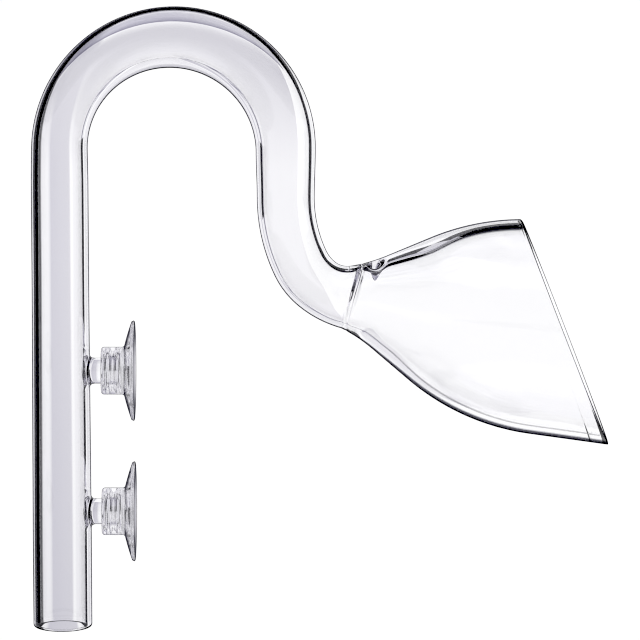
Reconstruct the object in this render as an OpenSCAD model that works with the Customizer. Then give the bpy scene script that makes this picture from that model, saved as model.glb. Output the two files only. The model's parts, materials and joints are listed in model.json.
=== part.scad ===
// Glass lily pipe: the outflow pipe of an aquarium canister filter.
// A bent glass tube hangs over the rim of the tank. Its hose leg stays outside, with two stubs
// that carry suction cups, and its drop leg ends in a blown, obliquely cut lily bell in the water.
// Origin: centre of the hose end's face. +Z runs up the hose leg, +X towards the bell.
// The pipe is bent in the XZ plane. All sizes are in millimetres and angles in degrees.

/* [Tube] */
// Outer radius of the hose tail, which the hose is pushed over
tail_r = 8.75; // [8.5:0.05:9]
// Length of the hose tail
tail_len = 29; // [25:1:29]
// Bore radius of the hose leg
bore_r = 6.65; // [6:0.05:7]
// Outer radius of the hose leg at its top
riser_top_r = 8.3; // [8.1:0.05:8.5]
// Height at which the hose leg ends and the bend over the rim starts
riser_top = 143.2; // [130:0.1:160]
// Radius of the fire-polished edges of the hose end
rim_edge = 0.3; // [0.2:0.05:0.45]

/* [Bend over the rim] */
// Centreline radius of the bend
bend_r = 33.3; // [30:0.1:40]
// How much the tube swells past the top of the bend
bend_swell = 1.1; // [0:0.1:1.3]

/* [Drop leg] */
// Outer radius of the tube below the swelling
drop_r = 8.5; // [8.2:0.05:8.8]
// Bore radius of the tube below the swelling
drop_bore_r = 6.8; // [6:0.05:7]
// Length of the straight drop
drop_len = 14.2; // [10:0.1:20]
// Centreline radius of the wide part of the sweep towards the bell
sweep_wide_r = 46; // [40:1:60]
// Angle turned in the wide part of the sweep
sweep_wide_turn = 25; // [15:1:35]
// Centreline radius of the tight part of the sweep
sweep_tight_r = 18; // [18:0.5:24]

/* [Lily bell] */
// Angle of the bell's axis below level
bell_dip = 9; // [5:0.5:15]
// Wall thickness of the bell
bell_wall = 2.2; // [1.8:0.1:2.6]
// Outer radius where the bell is welded to the tube
neck_r = 9.35; // [9:0.05:9.6]
// Length of the welded neck along the bell's axis
neck_len = 5; // [4:0.5:8]
// Thickness of the bead of glass inside the weld
neck_bead = 1.1; // [0.5:0.1:1.5]
// Distance along the axis from the weld to the middle of the mouth
mouth_at = 65.6; // [60:0.1:70]
// Angle between the mouth's plane and a square cut
mouth_slant = 30.4; // [20:0.1:35]

/* [Stubs] */
// Radius of the solid glass stubs
nub_r = 3.8; // [3.5:0.05:4]
// Distance from the leg's axis to the end of a stub
nub_end = 17.6; // [17:0.1:17.8]
// Height of the lower stub
lower_nub_z = 34.9; // [34.9:0.1:40]
// Height of the upper stub
upper_nub_z = 77.3; // [70:0.1:100]

/* [Suction cups] */
// Radius of a suction cup at its lip
cup_r = 14.85; // [13:0.05:15.2]
// Distance from the leg's axis to the plane of the cups' lips
cup_face = 21.8; // [21.5:0.1:22.5]
// Outer radius of the collar that grips the stub
collar_r = 7.05; // [6.8:0.05:7.5]
// Distance from the leg's axis to the back of the collar
collar_back = 11.9; // [11.5:0.1:12.2]
// Radial clearance between a stub and the ribs of its socket
socket_play = 0.05; // [0.02:0.01:0.09]

/* [Hidden] */

ROUND = 96;
TUBE_SIDES = 32;
BEND_STEPS = 12;
SWEEP_STEPS = 18;
GLASS = [0.84, 0.86, 0.92, 0.45];
CLEAR_VINYL = [0.80, 0.79, 0.86, 0.60];

// The swelling of the bend starts at swell_start degrees of turn and would fade out again
// swell_span degrees later, a little way down the drop leg.
swell_start = 15;
swell_span = 226;
bend_base_r = riser_top_r - bend_swell * pow(sin(180 * swell_start / swell_span), 2);
bend_base_bore = bore_r - (bend_swell - 0.1) * pow(sin(180 * swell_start / swell_span), 2);

drop_x = 2 * bend_r;
drop_end = riser_top - drop_len;
sweep_turn = 90 - bell_dip;
// The tube starts to widen towards the bell at this turn of the sweep.
flare_from = 50;

// Where the tight part of the sweep has its centre.
sweep_centre = [
    drop_x + sweep_wide_r - (sweep_wide_r - sweep_tight_r) * cos(sweep_wide_turn),
    drop_end - (sweep_wide_r - sweep_tight_r) * sin(sweep_wide_turn)
];
// Where the bell is welded to the tube.
weld = sweep_centre - sweep_tight_r * [cos(sweep_turn), sin(sweep_turn)];

// The bell's outer profile, walked from the weld: a concave flare, a cone, a convex crown and
// a nearly straight skirt. Each leg is [length if straight, radius if curved, angle turned].
profile_heading = 18;
bell_legs = [[0, 47, 13.5], [14, 0, 0], [0, 70, -32.5], [24, 0, 0]];

lip_flat = 1.4;
cavity_depth = 1.4;
cavity_floor_r = 4.5;
skirt_rim = 1.1;
collar_front = 18.7;
collar_edge = 0.9;
rib = 1.2;
groove = 1.8;
groove_depth = 1.3;
rib_count = 2;

// Points on an arc round centre c, from angle a0 to angle a1.
function arc(c, r, a0, a1, steps = 8) =
    [for (i = [0:steps]) let (a = a0 + (a1 - a0) * i / steps) c + r * [cos(a), sin(a)]];

// Tube radii after a turn of the bend over the rim.
function swell(turn) = pow(sin(180 * (turn - swell_start) / swell_span), 2);
function bend_outer(turn) = bend_base_r + bend_swell * swell(turn);
function bend_bore(turn) = bend_base_bore + (bend_swell - 0.1) * swell(turn);

// Tube radii after a turn of the sweep towards the bell.
function flare(turn) = pow(max(0, turn - flare_from) / (sweep_turn - flare_from), 2);
function sweep_outer(turn) = drop_r + (neck_r - drop_r) * flare(turn);
function sweep_bore(turn) = drop_bore_r + (neck_r - drop_r) * flare(turn);

// A station of a bent tube is [x, z, heading above level, outer radius, bore radius].
function bend_station(turn) =
    [bend_r * (1 - cos(turn)), riser_top + bend_r * sin(turn), 90 - turn,
     bend_outer(turn), bend_bore(turn)];
function sweep_station(turn) =
    let (wide = turn <= sweep_wide_turn,
         c = wide ? [drop_x + sweep_wide_r, drop_end] : sweep_centre,
         r = wide ? sweep_wide_r : sweep_tight_r)
    [c[0] - r * cos(turn), c[1] - r * sin(turn), turn - 90,
     sweep_outer(turn), sweep_bore(turn)];

// One ring of points round a station.
function ring(s, r) =
    [for (k = [0:TUBE_SIDES - 1]) let (a = 360 * k / TUBE_SIDES)
        [s[0] - sin(s[2]) * r * cos(a), r * sin(a), s[1] + cos(s[2]) * r * cos(a)]];

// Triangles between two rings whose first points are numbered p and q.
function band(p, q) =
    [for (k = [0:TUBE_SIDES - 1]) let (n = (k + 1) % TUBE_SIDES)
        each [[p + k, q + k, q + n], [p + k, q + n, p + n]]];

// A tube with a bore through a list of stations.
module bent_tube(stations) {
    count = len(stations);
    outer = [for (s = stations) each ring(s, s[3])];
    inner = [for (s = stations) each ring(s, s[4])];
    first_inner = count * TUBE_SIDES;
    last = (count - 1) * TUBE_SIDES;
    sides = [for (i = [0:count - 2]) let (p = i * TUBE_SIDES)
        each concat(band(p, p + TUBE_SIDES),
                    band(first_inner + p + TUBE_SIDES, first_inner + p))];
    ends = concat(band(first_inner, 0), band(last, first_inner + last));
    polyhedron(concat(outer, inner), concat(sides, ends));
}

// The points of a profile walked from p: [distance along the axis, radius, heading].
function walk(p, legs, i = 0) =
    i == len(legs) ? [p] :
    let (length = legs[i][0], r = legs[i][1], turn = legs[i][2],
         steps = length > 0 ? 1 : ceil(abs(turn) / 3),
         side = sign(turn),
         leg = [for (k = [0:steps])
             length > 0 ? [p[0] + length * k * cos(p[2]), p[1] + length * k * sin(p[2]), p[2]] :
             let (h = p[2] + turn * k / steps)
             [p[0] + side * r * (sin(h) - sin(p[2])), p[1] - side * r * (cos(h) - cos(p[2])), h]])
    concat([for (k = [0:steps - 1]) leg[k]], walk(leg[steps], legs, i + 1));

bell_outer = walk([0, neck_r, profile_heading], bell_legs);

// The whole wall of the bell, in the plane of its axis, as [radius, distance along the axis].
module bell_section()
    polygon(concat(
        [for (p = bell_outer) [p[1], p[0]]],
        [for (i = [len(bell_outer) - 1:-1:0]) let (p = bell_outer[i])
            [p[1] - bell_wall * cos(p[2]), p[0] + bell_wall * sin(p[2])]]));

// Moves a shape from the origin, pointing up, to the weld, pointing along the bell's axis.
module on_bell_axis() translate([weld[0], 0, weld[1]]) rotate([0, 90 + bell_dip, 0]) children();

// Moves a shape from the origin, pointing up, to a stub, pointing away from the leg.
module on_stub(z) translate([0, 0, z]) rotate([0, 90, 0]) children();

// The outer shape of the hose leg above the tail: it narrows slowly towards the bend.
module riser_solid()
    rotate_extrude($fn = ROUND)
        polygon([[0, tail_len], [tail_r, tail_len], [8.47, 100], [8.45, 134],
                 [riser_top_r, riser_top], [0, riser_top]]);

module hose_tail()
    color(GLASS) rotate_extrude($fn = ROUND)
        polygon(concat(
            arc([tail_r - rim_edge, rim_edge], rim_edge, -90, 0),
            [[tail_r, tail_len], [bore_r, tail_len]],
            arc([bore_r + rim_edge, rim_edge], rim_edge, 180, 270)));

module riser_tube()
    color(GLASS) difference() {
        riser_solid();
        translate([0, 0, tail_len - 1]) cylinder(r = bore_r, h = riser_top, $fn = ROUND);
    }

module rise_bend()
    color(GLASS) bent_tube([for (i = [0:BEND_STEPS]) bend_station(90 * i / BEND_STEPS)]);

module fall_bend()
    color(GLASS) bent_tube([for (i = [0:BEND_STEPS]) bend_station(90 + 90 * i / BEND_STEPS)]);

module drop_tube()
    color(GLASS) translate([drop_x, 0, drop_end]) rotate_extrude($fn = ROUND)
        polygon([[drop_bore_r, 0], [drop_r, 0], [bend_outer(180), drop_len],
                 [bend_bore(180), drop_len]]);

module sweep_bend()
    color(GLASS) bent_tube([for (i = [0:SWEEP_STEPS]) sweep_station(sweep_turn * i / SWEEP_STEPS)]);

module neck_weld()
    color(GLASS) on_bell_axis() {
        rotate_extrude($fn = ROUND) intersection() {
            union() {
                bell_section();
                translate([neck_r - bell_wall + 0.6, neck_len / 2]) circle(r = neck_bead, $fn = 32);
            }
            square([neck_r * 2, neck_len]);
        }
    }

module lily_bell()
    color(GLASS) on_bell_axis() difference() {
        rotate_extrude($fn = ROUND) difference() {
            bell_section();
            translate([0, -neck_len]) square([neck_r * 2, neck_len * 2]);
        }
        translate([0, 0, mouth_at]) rotate([0, -mouth_slant, 0])
            translate([-60, -60, 0]) cube(120);
    }

// A solid stub with a flared weld and a rounded end, shaped to the leg's surface.
module nub(z)
    color(GLASS) difference() {
        on_stub(z) {
            rotate_extrude($fn = ROUND)
                polygon(concat(
                    [[0, 6.5], [nub_r + 1.2, 6.5], [nub_r + 1.2, 7.4], [nub_r, 9.6]],
                    arc([nub_r - 1.2, nub_end - 1.2], 1.2, 0, 90),
                    [[0, nub_end]]));
        }
        riser_solid();
    }

module upper_nub() nub(upper_nub_z);
module lower_nub() nub(lower_nub_z);

// A one-piece vinyl cup: a ribbed collar that slips over the stub, and a thin skirt.
module suction_cup(z) {
    socket_r = nub_r + socket_play;
    pitch = rib + groove;
    color(CLEAR_VINYL) on_stub(z) rotate_extrude($fn = ROUND)
        difference() {
            polygon(concat(
                [[0, collar_back]],
                arc([collar_r - collar_edge, collar_back + collar_edge], collar_edge, -90, 0),
                [[collar_r, collar_front], [cup_r - 0.3, cup_face - skirt_rim],
                 [cup_r, cup_face - skirt_rim + 0.4], [cup_r, cup_face], [cup_r - lip_flat, cup_face],
                 [cavity_floor_r, cup_face - cavity_depth], [0, cup_face - cavity_depth]]));
            translate([0, collar_back - 1]) square([socket_r, rib_count * pitch + 1]);
            for (i = [1:rib_count]) translate([0, collar_back + i * pitch - groove])
                square([socket_r + groove_depth, groove]);
        }
}

module upper_suction_cup() suction_cup(upper_nub_z);
module lower_suction_cup() suction_cup(lower_nub_z);

hose_tail();
riser_tube();
rise_bend();
fall_bend();
drop_tube();
sweep_bend();
neck_weld();
lily_bell();
upper_nub();
lower_nub();
upper_suction_cup();
lower_suction_cup();
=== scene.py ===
"""A glass lily pipe with its two suction cups: the looks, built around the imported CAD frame.

All lengths are in metres, in the frame's own axes: +Z up the hose leg, +X towards the bell, and
the pipe is bent in the XZ plane. The glass is one flame-worked piece, so it is one closed mesh
whose rings follow the route of the tube from the hose end to the bell's mouth and back inside.
"""

import json
import math

import bpy
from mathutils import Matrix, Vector


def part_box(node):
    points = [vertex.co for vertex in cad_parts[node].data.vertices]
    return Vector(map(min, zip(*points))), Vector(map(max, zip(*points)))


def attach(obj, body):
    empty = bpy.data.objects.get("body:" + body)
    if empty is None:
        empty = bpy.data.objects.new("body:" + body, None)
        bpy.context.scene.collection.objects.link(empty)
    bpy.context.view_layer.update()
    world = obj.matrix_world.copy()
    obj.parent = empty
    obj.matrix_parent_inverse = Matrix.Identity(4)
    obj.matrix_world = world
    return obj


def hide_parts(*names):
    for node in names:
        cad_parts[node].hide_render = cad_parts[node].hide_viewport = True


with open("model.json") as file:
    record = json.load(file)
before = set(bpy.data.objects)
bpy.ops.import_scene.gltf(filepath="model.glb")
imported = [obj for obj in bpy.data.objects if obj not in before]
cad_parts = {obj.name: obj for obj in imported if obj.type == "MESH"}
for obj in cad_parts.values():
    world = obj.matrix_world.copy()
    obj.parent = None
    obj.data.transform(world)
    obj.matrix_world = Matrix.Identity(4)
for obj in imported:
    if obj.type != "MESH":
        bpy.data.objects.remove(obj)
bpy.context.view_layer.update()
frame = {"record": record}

# Points round each ring.
SIDES = 128

# ---------------------------------------------------------------- sizes taken from the frame
tail_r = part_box("hose_tail")[1].x
tail_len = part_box("hose_tail")[1].z
riser_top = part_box("riser_tube")[1].z
drop_x = (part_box("drop_tube")[0].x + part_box("drop_tube")[1].x) / 2
drop_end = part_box("drop_tube")[0].z
bend_r = drop_x / 2
nub_heights = [sum(c.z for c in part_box(n)) / 2 for n in ("lower_nub", "upper_nub")]
nub_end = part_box("lower_nub")[1].x
cup_back, cup_face = (c.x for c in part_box("lower_suction_cup"))
cup_r = (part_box("lower_suction_cup")[1].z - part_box("lower_suction_cup")[0].z) / 2

# ---------------------------------------------------------------- the tube's own dimensions
tube_wall = 0.00182
# Outer radius of the hose leg at heights, with straight lines between them.
riser_profile = [(tail_len, tail_r), (0.100, 0.00847), (0.134, 0.00845), (riser_top, 0.0083)]
bend_swell = 0.0010
bore_swell = 0.0011
crown_thinning = 0.0008
swell_start = 15
swell_span = 226
drop_r = 0.0085
drop_bore_r = 0.0068
sweep_wide_r = 0.046
sweep_wide_turn = 25
sweep_tight_r = 0.018
flare_from = 50
neck_r = 0.00935

# ---------------------------------------------------------------- the bell
bell_dip = 9
bell_wall = 0.0022
profile_heading = 18
# Each leg of the outer profile is (length if straight, radius if curved, angle turned).
bell_legs = [(0, 0.047, 13.5), (0.014, 0, 0), (0, 0.070, -32.5), (0.024, 0, 0)]
mouth_at = 0.0656
mouth_slant = 30.4
wall_blend = 0.007
# Glass that sagged under the throat, and glass gathered at the crown: how much, where, how far.
throat_sag = 0.0004
sag_at = 0.014
sag_reach = 0.008
crown_gather = 0.0009
gather_at = 0.020
gather_reach = 0.011
# The mouth's lip, and the faint step inside the bell a little way behind it.
lip_r = 0.0006
lip_square = 0.9
lip_step = 0.0001
step_back = 0.0040
step_nearer_at_crown = 0.0026
step_ease = 0.0004

# ---------------------------------------------------------------- stubs
nub_r = 0.0038
nub_round = 0.0012
fillet_r = 0.0050
fillet_end = 0.0103


def smooth(t):
    """0 below 0, 1 above 1, and an S curve between them."""
    t = min(1.0, max(0.0, t))
    return t * t * (3 - 2 * t)


def hump(x, middle, width):
    """A bell curve of height 1."""
    return math.exp(-(((x - middle) / width) ** 2))


# ================================================================ the route of the tube
def riser_outer(z):
    """Outer radius of the hose leg at a height."""
    if z <= tail_len:
        return tail_r
    for (z0, r0), (z1, r1) in zip(riser_profile, riser_profile[1:]):
        if z <= z1:
            return r0 + (r1 - r0) * (z - z0) / (z1 - z0)
    return riser_profile[-1][1]


def swell(turn):
    """How far the bend has swollen, from 0 to 1, after a turn in degrees."""
    return math.sin(math.radians(180 * (turn - swell_start) / swell_span)) ** 2


bend_base_r = riser_profile[-1][1] - bend_swell * swell(0)
bend_base_bore = riser_profile[-1][1] - tube_wall - bore_swell * swell(0)
sweep_turn = 90 - bell_dip
sweep_centre = Vector(
    (
        drop_x + sweep_wide_r - (sweep_wide_r - sweep_tight_r) * math.cos(math.radians(sweep_wide_turn)),
        0,
        drop_end - (sweep_wide_r - sweep_tight_r) * math.sin(math.radians(sweep_wide_turn)),
    )
)


def direction(heading):
    """Unit vector in the XZ plane at an angle above +X."""
    return Vector((math.cos(math.radians(heading)), 0, math.sin(math.radians(heading))))


def station(centre, heading, outer, bore, lift=0.0):
    """A place on the route: centre, way to the crown, radii, and how far the bore is off centre."""
    return {
        "lift": lift,
        "centre": centre,
        "crown": direction(heading + 90),
        "outer": outer,
        "bore": bore,
    }


def riser_station(z):
    return station(Vector((0, 0, z)), 90, riser_outer(z), riser_outer(z) - tube_wall)


def bend_station(turn):
    a = math.radians(turn)
    centre = Vector((bend_r * (1 - math.cos(a)), 0, riser_top + bend_r * math.sin(a)))
    outer = bend_base_r + bend_swell * swell(turn)
    lift = crown_thinning * math.sin(a) ** 2
    return station(centre, 90 - turn, outer, bend_base_bore + bore_swell * swell(turn), lift)


def drop_station(z):
    top = bend_station(180)
    t = smooth((riser_top - z) / (riser_top - drop_end))
    outer = top["outer"] + (drop_r - top["outer"]) * t
    return station(Vector((drop_x, 0, z)), -90, outer, top["bore"] + (drop_bore_r - top["bore"]) * t)


def sweep_station(turn):
    wide = turn <= sweep_wide_turn
    c = Vector((drop_x + sweep_wide_r, 0, drop_end)) if wide else sweep_centre
    r = sweep_wide_r if wide else sweep_tight_r
    flare = (max(0, turn - flare_from) / (sweep_turn - flare_from)) ** 2 * (neck_r - drop_r)
    a = math.radians(turn)
    centre = c - r * Vector((math.cos(a), 0, math.sin(a)))
    return station(centre, turn - 90, drop_r + flare, drop_bore_r + flare)


weld = sweep_station(sweep_turn)["centre"]
bell_along = direction(-bell_dip)
bell_crown = direction(90 - bell_dip)


# ================================================================ the bell's wall
def walk_profile(distance):
    """The bell's outer profile after a distance along it: (along the axis, radius, heading)."""
    s, r, h = 0.0, neck_r, math.radians(profile_heading)
    for length, radius, turn in bell_legs:
        step = length or radius * math.radians(abs(turn))
        d = min(distance, step)
        if length:
            s, r = s + d * math.cos(h), r + d * math.sin(h)
        else:
            side = math.copysign(1, turn)
            h1 = h + side * d / radius
            s += side * radius * (math.sin(h1) - math.sin(h))
            r -= side * radius * (math.cos(h1) - math.cos(h))
            h = h1
        distance -= d
        if distance <= 0:
            return s, r, h
    return s + distance * math.cos(h), r + distance * math.sin(h), h


neck_wall = sweep_station(sweep_turn)["outer"] - sweep_station(sweep_turn)["bore"]


def wall_at(distance, a):
    """Thickness of the blown wall, a little heavier under the throat and at the crown."""
    base = neck_wall + (bell_wall - neck_wall) * smooth(distance / wall_blend)
    sag = throat_sag * hump(distance, sag_at, sag_reach) * (0.5 - 0.5 * math.cos(a)) ** 2
    gather = crown_gather * hump(distance, gather_at, gather_reach) * (0.5 + 0.5 * math.cos(a)) ** 3
    return base + sag + gather


def bell_point(distance, a, inside):
    """A point of the bell's skin, as (along the axis, towards the crown, towards -Y)."""
    s, r, h = walk_profile(distance)
    if inside:
        wall = wall_at(distance, a)
        s += wall * math.sin(h) * smooth(distance / wall_blend)
        r -= wall * math.cos(h * smooth(distance / wall_blend))
    return s, r * math.cos(a), r * math.sin(a)


def mouth_distance(a, inside):
    """How far along the profile the mouth's rounded lip starts, on the ray at angle a."""
    slant = math.radians(mouth_slant)
    low, high = 0.02, 0.12
    for _ in range(40):
        middle = (low + high) / 2
        s, u, _y = bell_point(middle, a, inside)
        if (s - mouth_at) * math.cos(slant) + u * math.sin(slant) < -lip_r * math.cos(slant):
            low = middle
        else:
            high = middle
    return low


# ================================================================ the flame-worked weld
weld_at = 0.0015
weld_lean = 0.0018
# The bead all round, and what the fold adds to it, as heights and as half widths.
bead_height = 0.0001
bead_reach = 0.0005
fold_height = 0.0014
fold_reach = 0.0005
# Degrees from the crown at which the fold ends.
fold_end = 138
# The drop of glass that hangs in the throat; drip_turn is its half width in radians.
drip_at = 0.0082
drip_depth = 0.0040
drip_reach = 0.0014
drip_turn = 0.24
# A shallow ripple under the throat.
ripple_at = 0.0075
ripple_depth = 0.0003
ripple_reach = 0.003
# The groove in the outer skin along the weld, and what the fold adds to it.
groove_shallow = 0.0001
groove_fold = 0.0003
groove_reach = 0.00045


def weld_middle(a):
    """Where the weld runs along the bell's axis: it leans towards the mouth at the crown."""
    return weld_at + weld_lean * (0.5 + 0.5 * math.cos(a)) ** 2.2


def fold(a):
    """How strong the fold in the weld is: one side only, fading out below the middle."""
    turned = math.degrees(math.atan2(math.sin(a), math.cos(a)))
    if not 0 < turned < fold_end:
        return 0.0
    return math.sin(math.pi * (turned / fold_end) ** 0.8)


def weld_bead(s, a):
    """How far the bead inside the weld stands in from the bore, at s along the bell's axis."""
    strength = fold(a)
    height = bead_height + fold_height * strength
    bead = height * hump(s, weld_middle(a), bead_reach + fold_reach * strength)
    turned = math.atan2(math.sin(a), math.cos(a))
    drip = drip_depth * hump(turned, 0, drip_turn) * hump(s, drip_at, drip_reach)
    ripple = ripple_depth * hump(s, ripple_at, ripple_reach) * (0.5 - 0.5 * math.cos(a))
    return bead + drip + ripple


def weld_groove(s, a):
    """How deep the outer skin is drawn in along the weld."""
    return (groove_shallow + groove_fold * fold(a)) * hump(s, weld_middle(a), groove_reach)


def weld_skin(radius, s, a, inside):
    """The radius near the weld, with its bead or its groove."""
    return radius - weld_bead(s, a) if inside else radius - weld_groove(s, a)


# ================================================================ meshes
class Skin:
    """Collects the rings and faces of one closed surface."""

    def __init__(self):
        self.points = []
        self.faces = []

    def ring(self, points):
        first = len(self.points)
        self.points.extend(points)
        return list(range(first, len(self.points)))

    def bridge(self, a, b, skip=()):
        """Quads between two rings of equal length, leaving out the sides in skip."""
        for k in range(len(a)):
            if k not in skip:
                n = (k + 1) % len(a)
                self.faces.append((a[k], a[n], b[n], b[k]))

    def loft(self, rings):
        for a, b in zip(rings, rings[1:]):
            self.bridge(a, b)

    def fan(self, ring, middle, flip=False):
        """Closes a ring with triangles round a middle point."""
        tip = self.ring([middle])[0]
        for k in range(len(ring)):
            pair = (ring[k], ring[(k + 1) % len(ring)])
            self.faces.append((*(reversed(pair) if flip else pair), tip))

    def build(self, name):
        """Makes the object, with its faces turned outwards and no unused points."""
        used = sorted({i for f in self.faces for i in f})
        number = {old: new for new, old in enumerate(used)}
        mesh = bpy.data.meshes.new(name)
        mesh.from_pydata([self.points[i] for i in used], [], [[number[i] for i in f] for f in self.faces])
        volume = sum(
            mesh.vertices[p.vertices[0]].co.dot(p.normal) * p.area for p in mesh.polygons
        )
        if volume < 0:
            mesh.flip_normals()
        mesh.polygons.foreach_set("use_smooth", [True] * len(mesh.polygons))
        mesh.validate()
        obj = bpy.data.objects.new(name, mesh)
        bpy.context.scene.collection.objects.link(obj)
        return obj


def angle(k):
    return 2 * math.pi * k / SIDES


def tube_ring(place, inside, s=None):
    """The points of one ring, where s is its place along the bell's axis if the weld reaches it."""
    points = []
    for k in range(SIDES):
        a = angle(k)
        r = place["bore"] if inside else place["outer"]
        if s is not None:
            r = weld_skin(r, s, a, inside)
        middle = place["centre"] + (place["lift"] if inside else 0) * place["crown"]
        points.append(middle + r * (math.cos(a) * place["crown"] - math.sin(a) * Vector((0, 1, 0))))
    return points


def bell_ring(fraction, inside, ends):
    """A ring of the bell at a fraction of the way to the mouth, which the mouth's slant tilts."""
    points = []
    for k in range(SIDES):
        a = angle(k)
        s, u, y = bell_point(fraction * ends[k], a, inside)
        r = math.hypot(u, y)
        band = step_back - step_nearer_at_crown * (0.5 + 0.5 * math.cos(a)) ** 2
        thinned = lip_step * smooth((band - (1 - fraction) * ends[k]) / step_ease) if inside else 0
        scale = (weld_skin(r, s, a, inside) + thinned) / r
        points.append(weld + s * bell_along + u * scale * bell_crown - y * scale * Vector((0, 1, 0)))
    return points


def span(a, b, steps):
    """Evenly spaced values from a to b, without b."""
    return [a + (b - a) * i / steps for i in range(steps)]


# The block of the leg's grid that a stub's patch takes the place of: cells each way from its middle.
PATCH = 14
patch_cell = 2 * math.pi * tail_r / SIDES
patch_half = PATCH * patch_cell


def leg_heights():
    """Ring heights up the hose leg, with a square block of cells round each stub."""
    heights = span(tube_wall / 2, nub_heights[0] - patch_half, 20)
    for z, end in zip(nub_heights, (nub_heights[1] - patch_half, riser_top)):
        heights += span(z - patch_half, z + patch_half, 2 * PATCH)
        heights += span(z + patch_half, end, 26)
    return heights


def patch_block(heights, z):
    """The rows and columns of the leg's grid round the stub at height z."""
    row = min(range(len(heights)), key=lambda i: abs(heights[i] - (z - patch_half)))
    columns = range(SIDES // 2 - PATCH, SIDES // 2 + PATCH)
    return row, columns


def block_border(rings, row, columns):
    """The grid points round a block, in order."""
    left, right, top = columns[0], columns[-1] + 1, row + 2 * PATCH
    return (
        [rings[row][c] for c in range(left, right)]
        + [rings[r][right] for r in range(row, top)]
        + [rings[top][c] for c in range(right, left, -1)]
        + [rings[r][left] for r in range(top, row, -1)]
    )


def on_leg(y, z):
    """The point of the leg's skin on the side of the stubs, over a place (y, z)."""
    return Vector((math.sqrt(riser_outer(z) ** 2 - y * y), y, z))


def stub(skin, border, z0):
    """A solid stub with a filleted weld, grown out of the block of the leg's grid in border."""
    spokes = []
    for i in border:
        p = skin.points[i]
        spokes.append(math.atan2(p.z - z0, p.y))
    rings = [border]
    for t in (0.33, 0.66, 1.0):
        ring = []
        for i, turn in zip(border, spokes):
            p = skin.points[i]
            y = p.y * (1 - t) + fillet_r * math.cos(turn) * t
            z = p.z * (1 - t) + (z0 + fillet_r * math.sin(turn)) * t
            ring.append(on_leg(y, z))
        rings.append(skin.ring(ring))
    for t in (0.12, 0.25, 0.37, 0.5, 0.62, 0.75, 0.87, 1.0):
        ring = []
        for turn in spokes:
            across = Vector((0, math.cos(turn), math.sin(turn)))
            foot = on_leg(fillet_r * across.y, z0 + fillet_r * across.z)
            knee = on_leg(nub_r * across.y, z0 + nub_r * across.z)
            top = Vector((fillet_end, nub_r * across.y, z0 + nub_r * across.z))
            ring.append(foot * (1 - t) ** 2 + knee * 2 * t * (1 - t) + top * t * t)
        rings.append(skin.ring(ring))

    def round_ring(x, r):
        return skin.ring([Vector((x, r * math.cos(t), z0 + r * math.sin(t))) for t in spokes])

    for x in span(fillet_end, nub_end - nub_round, 12)[1:]:
        rings.append(round_ring(x, nub_r))
    for step in range(9):
        a = math.radians(90 * step / 8)
        r = nub_r - nub_round + nub_round * math.cos(a)
        rings.append(round_ring(nub_end - nub_round + nub_round * math.sin(a), r))
    for share in (0.66, 0.33):
        rings.append(round_ring(nub_end, (nub_r - nub_round) * share))
    for a, b in zip(rings, rings[1:]):
        skin.bridge(a, b)
    skin.fan(rings[-1], Vector((nub_end, 0, z0)))


def make_glass():
    """The whole flame-worked pipe as one closed skin."""
    skin = Skin()
    heights = leg_heights()
    bend_turns = span(0, 180, 120)
    drop_heights = span(riser_top, drop_end, 14)
    near_weld = sweep_turn - 12
    sweep_turns = span(0, sweep_wide_turn, 24) + span(sweep_wide_turn, near_weld, 40)
    sweep_turns += span(near_weld, sweep_turn, 30)
    fractions = span(0, 0.13, 70) + span(0.13, 0.3, 25) + span(0.3, 0.92, 50) + span(0.92, 1, 36) + [1.0]
    outer_ends = [mouth_distance(angle(k), False) for k in range(SIDES)]
    inner_ends = [mouth_distance(angle(k), True) for k in range(SIDES)]

    def side(inside):
        rings = [tube_ring(riser_station(z), inside) for z in heights]
        rings += [tube_ring(bend_station(t), inside) for t in bend_turns]
        rings += [tube_ring(drop_station(z), inside) for z in drop_heights]
        for turn in sweep_turns:
            s = -sweep_tight_r * math.radians(sweep_turn - turn)
            rings.append(tube_ring(sweep_station(turn), inside, s))
        rings += [bell_ring(t, inside, inner_ends if inside else outer_ends) for t in fractions]
        return rings

    outside = [skin.ring(points) for points in side(False)]
    inside = [skin.ring(points) for points in side(True)]

    # The mouth's lip: half an ellipse from the outer skin to the inner, led by the wall's direction.
    lip = []
    for step in range(1, 12):
        t = math.pi * step / 12
        ring = []
        for k in range(SIDES):
            p, q = skin.points[outside[-1][k]], skin.points[inside[-1][k]]
            lead = (p - skin.points[outside[-2][k]]).normalized()
            across = math.copysign(abs(math.cos(t)) ** lip_square, math.cos(t))
            ring.append((p + q) / 2 + (p - q) / 2 * across + lead * lip_r * math.sin(t) ** lip_square)
        lip.append(skin.ring(ring))

    # The hose end's fire-polished rim.
    rim = tube_wall / 2
    edge = []
    for step in range(1, 12):
        t = math.pi * step / 12
        r = tail_r - rim - rim * math.cos(t)
        edge.append(skin.ring(tube_ring(station(Vector((0, 0, rim * (1 - math.sin(t)))), 90, r, r), True)))

    skipped = {}
    for z in nub_heights:
        row, columns = patch_block(heights, z)
        for r in range(row, row + 2 * PATCH):
            skipped[r] = columns
        stub(skin, block_border(outside, row, columns), z)
    for r, (a, b) in enumerate(zip(outside, outside[1:])):
        skin.bridge(a, b, skipped.get(r, ()))
    skin.loft([outside[-1]] + lip + [inside[-1]])
    skin.loft(list(reversed(inside)))
    skin.loft([inside[0]] + edge + [outside[0]])
    return skin.build("glass_pipe")


# ================================================================ suction cups
collar_r = 0.00705
collar_front = 0.0187
collar_edge = 0.0009
socket_r = 0.00385
rib = 0.0012
groove = 0.0018
groove_depth = 0.0013
rib_count = 2
skirt_rim = 0.0011
lip_round = 0.00035
cavity_depth = 0.0014
cavity_floor_r = 0.0045


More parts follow.
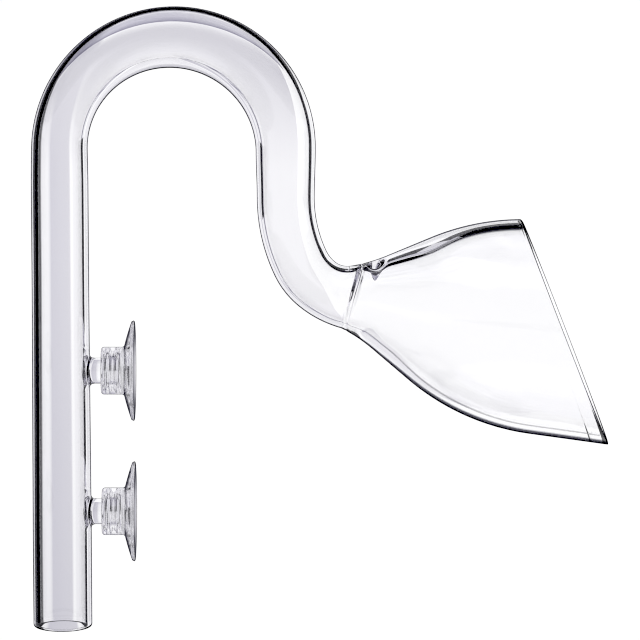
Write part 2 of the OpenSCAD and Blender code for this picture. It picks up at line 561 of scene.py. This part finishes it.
def arc(cx, cr, r, start, end, steps=6):
    """Points on an arc of a profile in (x, radius), angles in degrees from +x towards +radius."""
    return [
        (
            cx + r * math.cos(math.radians(start + (end - start) * i / steps)),
            cr + r * math.sin(math.radians(start + (end - start) * i / steps)),
        )
        for i in range(steps + 1)
    ]


def curve(start, knee, end, steps=8):
    """Points on a quadratic curve."""
    points = []
    for i in range(steps + 1):
        t = i / steps
        points.append(
            tuple(a * (1 - t) ** 2 + b * 2 * t * (1 - t) + c * t * t for a, b, c in zip(start, knee, end))
        )
    return points


def cup_profile():
    """The cup's section from the floor of the socket, round the outside, to the cavity's middle."""
    socket_end = cup_back + rib_count * (rib + groove)
    points = [(socket_end, socket_r * share) for share in (0.25, 0.5, 0.75)]
    for i in range(rib_count):
        x = socket_end - i * (rib + groove)
        deep = socket_r + groove_depth
        points += arc(x - groove / 2, deep - groove / 2, groove / 2, 0, 180, 8)
        points += arc(x - groove - rib / 2, socket_r + rib / 2, rib / 2, 0, -180, 6)
    # The far side of the last rib gives way to the socket's rounded mouth.
    points = points[:-4]
    points += arc(cup_back + 0.0003, socket_r + 0.0003, 0.0003, -90, -180, 4)
    points += arc(cup_back + collar_edge, collar_r - collar_edge, collar_edge, 180, 90, 8)
    neck = (collar_front - 0.0007, collar_r)
    points += curve(neck, (collar_front, collar_r), (collar_front + 0.00012, collar_r + 0.0007), 6)
    rim_x = cup_face - skirt_rim + 0.0002
    points += curve(
        (collar_front + 0.00015, collar_r + 0.0008),
        (collar_front + 0.0012, cup_r * 0.8),
        (rim_x, cup_r - 0.0003),
        12,
    )
    points += arc(cup_face - lip_round, cup_r - lip_round, lip_round, 90, 0, 6)
    points += curve(
        (cup_face - 0.0001, cup_r - 0.0011),
        (cup_face - cavity_depth * 0.55, cup_r * 0.7),
        (cup_face - cavity_depth, cavity_floor_r),
        16,
    )
    points += [(cup_face - cavity_depth, cavity_floor_r * share) for share in (0.66, 0.33)]
    return points


def make_cup(name, z0):
    """One vinyl cup, turned round the axis of its stub."""
    skin = Skin()
    profile = cup_profile()
    rings = [
        skin.ring([Vector((x, r * math.cos(angle(k)), z0 + r * math.sin(angle(k)))) for k in range(SIDES)])
        for x, r in profile
    ]
    skin.loft(rings)
    skin.fan(rings[0], Vector((profile[0][0], 0, z0)), flip=True)
    skin.fan(rings[-1], Vector((profile[-1][0], 0, z0)))
    return skin.build(name)


# ================================================================ materials
# Where the painted shade on the outlines starts, from 0 facing the eye to 1 edge on.
GLASS_EDGE = 0.81
VINYL_EDGE = 0.78
# How much sooner the painted shade starts on glass that faces the floor or the sides.
DOWNWARD_SHADE = 0.11
SIDEWAYS_SHADE = 0.06


def new_material(name):
    material = bpy.data.materials.new(name)
    material.use_nodes = True
    tree = material.node_tree
    return material, tree, tree.nodes["Principled BSDF"], tree.nodes["Material Output"]


def add_bump(tree, shader, scale, stretch, strength, distance):
    """A faint relief from stretched noise, in the object's own coordinates."""
    place = tree.nodes.new("ShaderNodeTexCoord")
    mapping = tree.nodes.new("ShaderNodeMapping")
    mapping.inputs["Scale"].default_value = stretch
    noise = tree.nodes.new("ShaderNodeTexNoise")
    noise.inputs["Scale"].default_value = scale
    noise.inputs["Detail"].default_value = 2.0
    bump = tree.nodes.new("ShaderNodeBump")
    bump.inputs["Strength"].default_value = strength
    bump.inputs["Distance"].default_value = distance
    tree.links.new(place.outputs["Object"], mapping.inputs["Vector"])
    tree.links.new(mapping.outputs["Vector"], noise.inputs["Vector"])
    tree.links.new(noise.outputs["Fac"], bump.inputs["Height"])
    tree.links.new(bump.outputs["Normal"], shader.inputs["Normal"])


def add_absorption(tree, output, colour, density):
    """Makes the inside darker where it is thicker."""
    volume = tree.nodes.new("ShaderNodeVolumeAbsorption")
    volume.inputs["Color"].default_value = (*colour, 1)
    volume.inputs["Density"].default_value = density
    tree.links.new(volume.outputs["Volume"], output.inputs["Volume"])


def rims(tree, nodes):
    """How much painted shade the rims of the hose end and the mouth get: thin dark lines painted along
    their fire-polished ends.
    """
    place = tree.nodes.new("ShaderNodeTexCoord").outputs["Object"]
    slant = math.radians(mouth_slant)
    mouth_normal = math.cos(slant) * bell_along + math.sin(slant) * bell_crown
    values = []
    # Each rim: its middle, its outward normal, how deep its painted dark line reaches, and how dark it is.
    for middle, normal, depth, strength in (
        (Vector((0, 0, 0)), Vector((0, 0, -1)), 0.0012, 0.45),
        (weld + mouth_at * bell_along, mouth_normal, 0.0003, 0.22),
    ):
        offset = tree.nodes.new("ShaderNodeVectorMath")
        offset.operation = "SUBTRACT"
        offset.inputs[1].default_value = middle
        dot = tree.nodes.new("ShaderNodeVectorMath")
        dot.operation = "DOT_PRODUCT"
        dot.inputs[1].default_value = normal
        tree.links.new(place, offset.inputs[0])
        tree.links.new(offset.outputs[0], dot.inputs[0])
        near = nodes.ramp(dot.outputs["Value"], -0.002, 0.001, [(-depth, BLACK), (-0.0001, WHITE)])
        values.append(nodes.math("MULTIPLY", near, strength))
    return nodes.math("MAXIMUM", values[0], values[1])


def clear_material(name, ior, roughness, colour, density):
    """A refracting material with absorption, for its colour to deepen where it is thick."""
    material = bpy.data.materials.new(name)
    material.use_nodes = True
    tree = material.node_tree
    tree.nodes.clear()
    output = tree.nodes.new("ShaderNodeOutputMaterial")
    shader = tree.nodes.new("ShaderNodeBsdfGlass")
    shader.inputs["IOR"].default_value = ior
    shader.inputs["Roughness"].default_value = roughness
    tree.links.new(shader.outputs[0], output.inputs["Surface"])
    add_absorption(tree, output, colour, density)
    return material, tree, Nodes(tree), shader


def paint_edge_shade(tree, nodes, shader, grazing, edge):
    """Paints shade into the skin's colour where grazing passes edge, as dark outlines, for light that
    meets it from the air.
    """
    inside = tree.nodes.new("ShaderNodeNewGeometry").outputs["Backfacing"]
    grazing = nodes.math("MULTIPLY", grazing, nodes.math("SUBTRACT", 1, inside))
    # The ramp paints dark outlines, a painted shade, into the colour the glass lets through.
    shade = nodes.ramp(grazing, 0, 1, [(edge, WHITE), (1.0, BLACK), (edge + 0.35 * (1 - edge), EDGE_SHADE)])
    tree.links.new(shade, shader.inputs["Color"])


def glass_material():
    """Clear glass with painted shade on its outlines, starting sooner where the skin faces the floor or
    the sides, and painted dark lines at its rims.
    """
    material, tree, nodes, shader = clear_material("clear_glass", 1.47, 0.0, (0.55, 0.53, 0.68), 12)
    facing = tree.nodes.new("ShaderNodeLayerWeight").outputs["Facing"]
    geometry = tree.nodes.new("ShaderNodeNewGeometry")
    split = tree.nodes.new("ShaderNodeSeparateXYZ")
    tree.links.new(geometry.outputs["Normal"], split.inputs[0])
    # Painted shade: glass that faces down or sideways gets darker outlines.
    downward = nodes.math("MAXIMUM", nodes.math("MULTIPLY", split.outputs[2], -1), 0)
    sideways = nodes.math("ABSOLUTE", split.outputs[0])
    grazing = nodes.math("ADD", facing, nodes.math("MULTIPLY", downward, DOWNWARD_SHADE))
    grazing = nodes.math("ADD", grazing, nodes.math("MULTIPLY", sideways, SIDEWAYS_SHADE))
    grazing = nodes.math("ADD", grazing, rims(tree, nodes))
    paint_edge_shade(tree, nodes, shader, grazing, GLASS_EDGE)
    return material


def vinyl_material():
    """Clear vinyl, a little hazy and uneven, with painted shade on its outlines."""
    material, tree, nodes, shader = clear_material("clear_vinyl", 1.5, 0.01, (0.55, 0.53, 0.66), 4)
    facing = tree.nodes.new("ShaderNodeLayerWeight").outputs["Facing"]
    paint_edge_shade(tree, nodes, shader, facing, VINYL_EDGE)
    add_bump(tree, shader, 500, (1, 1, 1), 0.02, 0.00003)
    return material


# ================================================================ studio
def make_floor():
    """A plain pale floor, well below the hanging pipe."""
    half = 12.0
    drop = 0.45
    mesh = bpy.data.meshes.new("floor")
    corners = [(-half, -half, -drop), (half, -half, -drop), (half, half, -drop), (-half, half, -drop)]
    mesh.from_pydata(corners, [], [(0, 1, 2, 3)])
    floor = bpy.data.objects.new("floor", mesh)
    bpy.context.scene.collection.objects.link(floor)
    material, _tree, shader, _output = new_material("pale_floor")
    shader.inputs["Base Color"].default_value = (0.97, 0.97, 0.97, 1)
    shader.inputs["Roughness"].default_value = 1.0
    shader.inputs["Specular IOR Level"].default_value = 0.0
    mesh.materials.append(material)
    floor.visible_transmission = False
    floor.visible_glossy = False


class Nodes:
    """Short calls for the math nodes of one shader tree."""

    def __init__(self, tree):
        self.tree = tree

    def math(self, operation, a, b=None, c=None):
        node = self.tree.nodes.new("ShaderNodeMath")
        node.operation = operation
        for socket, value in zip(node.inputs, (a, b, c)):
            if value is None:
                continue
            if isinstance(value, (int, float)):
                socket.default_value = value
            else:
                self.tree.links.new(value, socket)
        return node.outputs[0]

    def between(self, value, low, high):
        """1 where the value lies between low and high, 0 elsewhere."""
        above = self.math("GREATER_THAN", value, low)
        below = self.math("LESS_THAN", value, high)
        return self.math("MULTIPLY", above, below)

    def ramp(self, value, low, high, stops):
        """Colours at values between low and high."""
        node = self.tree.nodes.new("ShaderNodeValToRGB")
        elements = node.color_ramp.elements
        elements[0].position = (stops[0][0] - low) / (high - low)
        elements[0].color = (*stops[0][1], 1)
        elements[1].position = (stops[1][0] - low) / (high - low)
        elements[1].color = (*stops[1][1], 1)
        for at, colour in stops[2:]:
            element = elements.new((at - low) / (high - low))
            element.color = (*colour, 1)
        scaled = self.math("DIVIDE", self.math("SUBTRACT", value, low), high - low)
        self.tree.links.new(scaled, node.inputs["Fac"])
        return node.outputs["Color"]

    def mix(self, factor, a, b, blend="MIX"):
        node = self.tree.nodes.new("ShaderNodeMix")
        node.data_type = "RGBA"
        node.blend_type = blend
        for socket, value in ((node.inputs[0], factor), (node.inputs[6], a), (node.inputs[7], b)):
            if isinstance(value, (int, float)):
                socket.default_value = value
            elif isinstance(value, tuple):
                socket.default_value = (*value, 1)
            else:
                self.tree.links.new(value, socket)
        return node.outputs[2]


# Tones of the surroundings, and the painted shade of the outlines.
BLACK = (0.004, 0.004, 0.008)
WHITE = (1.0, 1.0, 1.0)
GLOW = (1.06, 1.06, 1.07)
PALE = (0.90, 0.895, 0.93)
LAVENDER = (0.66, 0.65, 0.72)
MID = (0.45, 0.44, 0.52)
DUSK = (0.22, 0.21, 0.30)
MIST = (0.73, 0.72, 0.775)
BRIGHT = (0.96, 0.955, 0.98)
STRONG = (1.1, 1.1, 1.11)
DIM = (0.86, 0.86, 0.87)
EDGE_SHADE = (0.14, 0.14, 0.16)
BACKDROP = (1.06, 1.06, 1.06)


def bars(stops, soften=1.2):
    """Turns (from, to, colour) bars into ramp stops with soft edges between them."""
    result = []
    for start, end, colour in stops:
        result += [(start + soften / 2, colour), (end - soften / 2, colour)]
    return result


def make_world():
    """A plain white studio, in which the glass alone also sees flags and tones."""
    world = bpy.data.worlds.new("studio")
    world.use_nodes = True
    bpy.context.scene.world = world
    tree = world.node_tree
    tree.nodes.clear()
    nodes = Nodes(tree)
    place = tree.nodes.new("ShaderNodeTexCoord")
    split = tree.nodes.new("ShaderNodeSeparateXYZ")
    tree.links.new(place.outputs["Generated"], split.inputs[0])
    x, y, z = split.outputs
    azimuth = nodes.math("DEGREES", nodes.math("ARCTAN2", x, y))
    height = nodes.math("DEGREES", nodes.math("ARCSINE", z))

    # About level: pale and lavender straight behind the pipe, with a black flag on each side.
    front = nodes.ramp(azimuth, -180, 180, bars([
        (-180, -83, PALE), (-83, -20, BLACK), (-17, -7, PALE), (-7, 2, LAVENDER),
        (2, 38, PALE), (38, 83, BLACK), (83, 180, PALE)]))
    # Elsewhere: lavender, pale and grey by turns, repeated every eighth of a turn.
    eighth = nodes.math("PINGPONG", nodes.math("ADD", azimuth, 360), 22.5)
    ring = nodes.ramp(eighth, 0, 22.5, bars([(0, 6, LAVENDER), (6, 14.5, PALE), (14.5, 22.5, MID)]))
    # A little lower: pale, with a narrow grey strip on each side.
    low = nodes.ramp(azimuth, -180, 180, bars([
        (-180, -62, PALE), (-62, -52, MID), (-52, 52, PALE), (52, 62, MID), (62, 180, PALE)]))
    level = nodes.mix(nodes.between(height, -12.4, 6), ring, front)
    level = nodes.mix(nodes.between(height, -30, -12.4), level, low)
    # Up and down: black above the horizon, greyer overhead, and three grey strips low down.
    upright = nodes.ramp(height, -90, 90, bars([
        (-90, -80, WHITE), (-80, -70, MID), (-70, -55, WHITE), (-55, -50, MID), (-50, -39.5, WHITE),
        (-39.5, -36.5, MID), (-36.5, 5, WHITE), (5, 50, BLACK), (50, 75, LAVENDER), (75, 90, MID)]))
    seen = nodes.mix(1.0, level, upright, "MULTIPLY")
    # The pale room behind the camera, which the near skin mirrors faintly.
    room = nodes.ramp(y, -1, 1, [(-0.45, WHITE), (-0.15, BLACK)])
    room = nodes.mix(1.0, room, nodes.ramp(height, -90, 90, [(-8, WHITE), (14, BLACK)]), "MULTIPLY")
    seen = nodes.mix(room, seen, PALE)

    # The bright table under the lamps, straight ahead and below.
    ahead = nodes.ramp(azimuth, -180, 180, [(-27, BLACK), (-23, WHITE), (38, WHITE), (42, BLACK)])
    below = nodes.ramp(height, -90, 90, [(-16, WHITE), (-12, BLACK)])
    seen = nodes.mix(nodes.mix(1.0, ahead, below, "MULTIPLY"), seen, GLOW)

    path = tree.nodes.new("ShaderNodeLightPath")
    plain = nodes.math("MAXIMUM", path.outputs["Is Camera Ray"], path.outputs["Is Diffuse Ray"])
    colour = nodes.mix(plain, seen, BACKDROP)
    background = tree.nodes.new("ShaderNodeBackground")
    output = tree.nodes.new("ShaderNodeOutputWorld")
    tree.links.new(colour, background.inputs["Color"])
    tree.links.new(background.outputs[0], output.inputs["Surface"])


# The stretches of x and of z that the tones of a panel are given over.
PANEL_ACROSS = (-0.3, 0.3)
PANEL_UPWARD = (-0.3, 0.4)
NO_MIST = ((-0.3, BLACK), (0.4, BLACK))
PLAIN = ((-0.3, WHITE), (0.4, WHITE))


def make_panel(name, y, corners, across, mist=NO_MIST, upward=PLAIN):
    """A lit panel behind the pipe that only the glass sees, with tones across it and upward."""
    mesh = bpy.data.meshes.new(name)
    mesh.from_pydata([(x, y, z) for x, z in corners], [], [tuple(range(len(corners)))])
    panel = bpy.data.objects.new(name, mesh)
    bpy.context.scene.collection.objects.link(panel)
    material = bpy.data.materials.new(name)
    material.use_nodes = True
    tree = material.node_tree
    tree.nodes.clear()
    nodes = Nodes(tree)
    place = tree.nodes.new("ShaderNodeTexCoord")
    split = tree.nodes.new("ShaderNodeSeparateXYZ")
    tree.links.new(place.outputs["Object"], split.inputs[0])
    side = nodes.ramp(split.outputs[0], *PANEL_ACROSS, across)
    rise = nodes.ramp(split.outputs[2], *PANEL_UPWARD, mist)
    emission = tree.nodes.new("ShaderNodeEmission")
    output = tree.nodes.new("ShaderNodeOutputMaterial")
    level = nodes.ramp(split.outputs[2], *PANEL_UPWARD, upward)
    colour = nodes.mix(1.0, nodes.mix(rise, side, MIST), level, "MULTIPLY")
    tree.links.new(colour, emission.inputs["Color"])
    tree.links.new(emission.outputs[0], output.inputs["Surface"])
    mesh.materials.append(material)
    panel.visible_camera = False
    panel.visible_diffuse = False
    panel.visible_shadow = False


def make_panels():
    """Two panels close behind the leg and the bend, and a plain bright one further back."""
    split_z = 0.168
    left, right, foot, top = -0.036, 0.078, -0.06, 0.187
    make_panel(
        "near_panel", 0.1, [(left, foot), (right, foot), (right, split_z), (left, split_z)],
        [(-0.3, BRIGHT), (-0.017, BRIGHT), (-0.015, LAVENDER), (0.0064, MIST), (0.0070, GLOW),
         (0.0095, GLOW), (0.012, BRIGHT)],
        mist=((0.125, BLACK), (0.157, WHITE), (0.163, WHITE), (split_z, BLACK)),
        upward=((-0.03, DIM), (0.10, WHITE)))
    make_panel(
        "near_panel_top", 0.1, [(left, split_z), (0.088, split_z), (0.088, top), (left, top)],
        [(-0.012, MID), (0.005, PALE), (0.03, PALE), (0.04, WHITE)],
        upward=((split_z, DUSK), (split_z + 0.0008, MID), (split_z + 0.005, LAVENDER),
                (0.183, MIST), (0.186, GLOW)))
    make_panel(
        "far_panel", 0.25, [(0.02, -0.1), (0.235, -0.1), (0.235, 0.188), (0.02, 0.188)],
        [(-0.3, STRONG), (0.3, STRONG)])


def make_camera():
    """A long lens that looks down a little on the pipe's middle."""
    elevation = math.radians(9)
    distance = 1.597
    aim = Vector((0.0767, 0, 0.0925))
    data = bpy.data.cameras.new("camera")
    data.sensor_width = 36
    data.lens = 303.75
    data.clip_start = 0.01
    data.clip_end = 100
    camera = bpy.data.objects.new("camera", data)
    bpy.context.scene.collection.objects.link(camera)
    back = Vector((0, -math.cos(elevation), math.sin(elevation)))
    camera.location = aim + back * distance
    camera.rotation_mode = "QUATERNION"
    camera.rotation_quaternion = (-back).to_track_quat("-Z", "Y")
    bpy.context.scene.camera = camera


def make_softbox():
    """A wide soft lamp over the pipe."""
    data = bpy.data.lights.new("softbox", "AREA")
    data.shape = "RECTANGLE"
    data.size, data.size_y = 1.2, 0.8
    data.energy = 2.0
    lamp = bpy.data.objects.new("softbox", data)
    lamp.location = (-0.5, -0.4, 1.4)
    lamp.rotation_mode = "QUATERNION"
    lamp.rotation_quaternion = (Vector((0.07, 0, 0.09)) - lamp.location).to_track_quat("-Z", "Y")
    lamp.visible_transmission = False
    bpy.context.scene.collection.objects.link(lamp)


def set_looks():
    """Light paths deep enough for glass behind glass, and the picture's tones."""
    scene = bpy.context.scene
    scene.view_settings.view_transform = "Standard"
    scene.view_settings.look = "None"
    scene.cycles.max_bounces = 32
    scene.cycles.transmission_bounces = 32
    scene.cycles.glossy_bounces = 16
    scene.cycles.caustics_refractive = True
    scene.cycles.use_denoising = True
    scene.cycles.filter_width = 1.1
    scene.view_settings.use_curve_mapping = True
    scene.view_settings.curve_mapping.black_level = (0.03, 0.03, 0.03)
    scene.view_settings.curve_mapping.update()


# ================================================================ the scene
make_camera()
make_floor()
make_world()
make_panels()
make_softbox()
set_looks()

glass = make_glass()
glass.data.materials.append(glass_material())
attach(glass, "glass_pipe")
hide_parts(*frame["record"]["behaviour"]["bodies"]["glass_pipe"])

vinyl = vinyl_material()
for name, height in zip(("lower", "upper"), nub_heights):
    cup = make_cup(name + "_cup", height)
    cup.data.materials.append(vinyl)
    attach(cup, name + "_cup")
    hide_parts(name + "_suction_cup")
